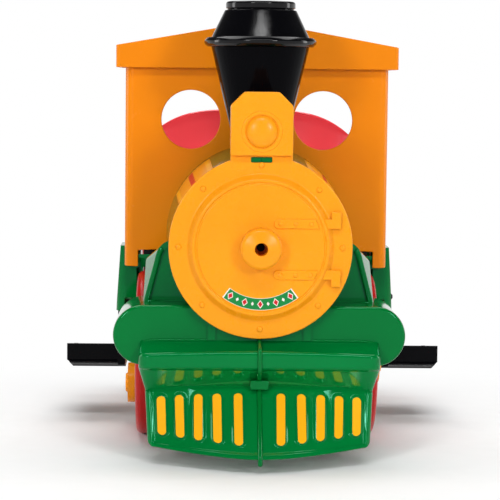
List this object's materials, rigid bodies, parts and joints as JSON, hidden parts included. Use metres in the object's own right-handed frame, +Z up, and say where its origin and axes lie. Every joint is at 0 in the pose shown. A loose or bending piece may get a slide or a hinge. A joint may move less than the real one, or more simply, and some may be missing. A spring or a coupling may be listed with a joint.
{
  "type": "ride-on toy train",
  "caption": "Child's battery ride-on steam train with a cowcatcher, boiler, smokestack, cab, coupled wheels, lift-up seat and foot-rests.",
  "frame": {"origin": "on the ground under the middle of the train's box", "axes": "the train faces -Y, +X is to the right in a view of its front, +Z is up"},
  "size_m": [0.522, 0.74, 0.578],
  "materials": {
    "green_body": "glossy moulded plastic",
    "orange_front": "satin-gloss moulded plastic",
    "orange_cab": "satin-gloss moulded plastic",
    "red_wheel": "glossy moulded plastic",
    "red_seat": "glossy moulded plastic",
    "yellow_trim": "glossy film and plastic",
    "black_plastic": "glossy moulded plastic",
    "steel": "bright zinc-plated steel",
    "nylon": "natural nylon",
    "battery_case": "matt grey case"
  },
  "bodies": {
    "train": {"spine_frame": "green_body", "cylinder_saddle": "green_body", "pilot": "green_body", "boiler_left": "green_body", "boiler_right": "green_body", "cab_base": "green_body", "tender_body": "green_body", "smokebox_front": "orange_front", "cab_wall": "orange_cab", "cab_roof": "orange_cab", "pilot_stripes": "yellow_trim", "smokestack_funnel": "black_plastic", "smokestack_cap": "black_plastic", "console": "black_plastic", "handle_bar": "black_plastic", "footrest_left": "black_plastic", "footrest_right": "black_plastic", "axle_caps": "black_plastic", "gearbox_inner": "black_plastic", "gearbox_outer": "black_plastic", "smokebox_screw": "steel", "seat_hinge_pins": "steel", "footrest_studs": "steel", "front_axle": "steel", "rear_axle": "steel", "gearbox_screws": "steel", "idler_shaft": "steel", "motor": "steel", "axle_bushes": "nylon", "battery": "battery_case"},
    "wheel_front_left": {"wheel_front_left": "red_wheel", "pin_front_left": "orange_front"},
    "wheel_front_right": {"wheel_front_right": "red_wheel", "pin_front_right": "orange_front"},
    "wheel_rear_left": {"wheel_rear_left": "red_wheel", "pin_rear_left": "orange_front"},
    "wheel_rear_right": {"wheel_rear_right": "red_wheel", "pin_rear_right": "orange_front", "output_gear": "nylon"},
    "rod_left": {"rod_left": "orange_front"},
    "rod_right": {"rod_right": "orange_front"},
    "idler": {"idler_gear": "nylon"},
    "motor_shaft": {"motor_pinion": "steel"},
    "seat": {"seat": "red_seat", "seat_brackets": "black_plastic"},
    "drive_button": {"drive_button": "red_wheel"},
    "horn_button": {"horn_button": "yellow_trim"},
    "power_button": {"power_button": "black_plastic"}
  },
  "joints": [
    {"name": "rear_left_spin", "type": "hinge", "parent": "train", "child": "wheel_rear_left", "pos_m": [-0.138, 0.22, 0.11], "axis": [1, 0, 0], "continuous": true},
    {"name": "rear_right_spin", "type": "hinge", "parent": "train", "child": "wheel_rear_right", "pos_m": [0.138, 0.22, 0.11], "axis": [1, 0, 0], "continuous": true},
    {"name": "front_left_spin", "type": "hinge", "parent": "train", "child": "wheel_front_left", "pos_m": [-0.138, -0.07, 0.11], "axis": [1, 0, 0], "continuous": true},
    {"name": "front_right_spin", "type": "hinge", "parent": "train", "child": "wheel_front_right", "pos_m": [0.138, -0.07, 0.11], "axis": [1, 0, 0], "continuous": true},
    {"name": "rod_left_swing", "type": "hinge", "parent": "wheel_rear_left", "child": "rod_left", "pos_m": [-0.167, 0.24192, 0.06506], "axis": [1, 0, 0], "continuous": true},
    {"name": "rod_right_swing", "type": "hinge", "parent": "wheel_rear_right", "child": "rod_right", "pos_m": [0.167, 0.26636, 0.09127], "axis": [1, 0, 0], "continuous": true},
    {"name": "idler_spin", "type": "hinge", "parent": "train", "child": "idler", "pos_m": [0.077, 0.187, 0.11], "axis": [1, 0, 0], "continuous": true},
    {"name": "motor_spin", "type": "hinge", "parent": "train", "child": "motor_shaft", "pos_m": [0.07, 0.1618, 0.11], "axis": [1, 0, 0], "continuous": true},
    {"name": "seat_hinge", "type": "hinge", "parent": "train", "child": "seat", "pos_m": [0, 0.3184, 0.2493], "axis": [-1, 0, 0], "range_deg": [0, 75]},
    {"name": "drive_press", "type": "slide", "parent": "train", "child": "drive_button", "axis": [0, 0, -1], "range_m": [0, 0.004], "stiffness_N_per_m": 400, "springref_m": -0.002},
    {"name": "horn_press", "type": "slide", "parent": "train", "child": "horn_button", "axis": [0, 0, -1], "range_m": [0, 0.004], "stiffness_N_per_m": 400, "springref_m": -0.002},
    {"name": "power_press", "type": "slide", "parent": "train", "child": "power_button", "axis": [-1, 0, 0], "range_m": [0, 0.002], "stiffness_N_per_m": 400, "springref_m": -0.002}
  ],
  "couplings": [
    {"joint": "front_left_spin", "follows": "rear_left_spin", "ratio": 1},
    {"joint": "rod_left_swing", "follows": "rear_left_spin", "ratio": -1},
    {"joint": "front_right_spin", "follows": "rear_right_spin", "ratio": 1},
    {"joint": "rod_right_swing", "follows": "rear_right_spin", "ratio": -1},
    {"joint": "idler_spin", "follows": "rear_right_spin", "ratio": -4},
    {"joint": "motor_spin", "follows": "rear_right_spin", "ratio": 14.667}
  ]
}
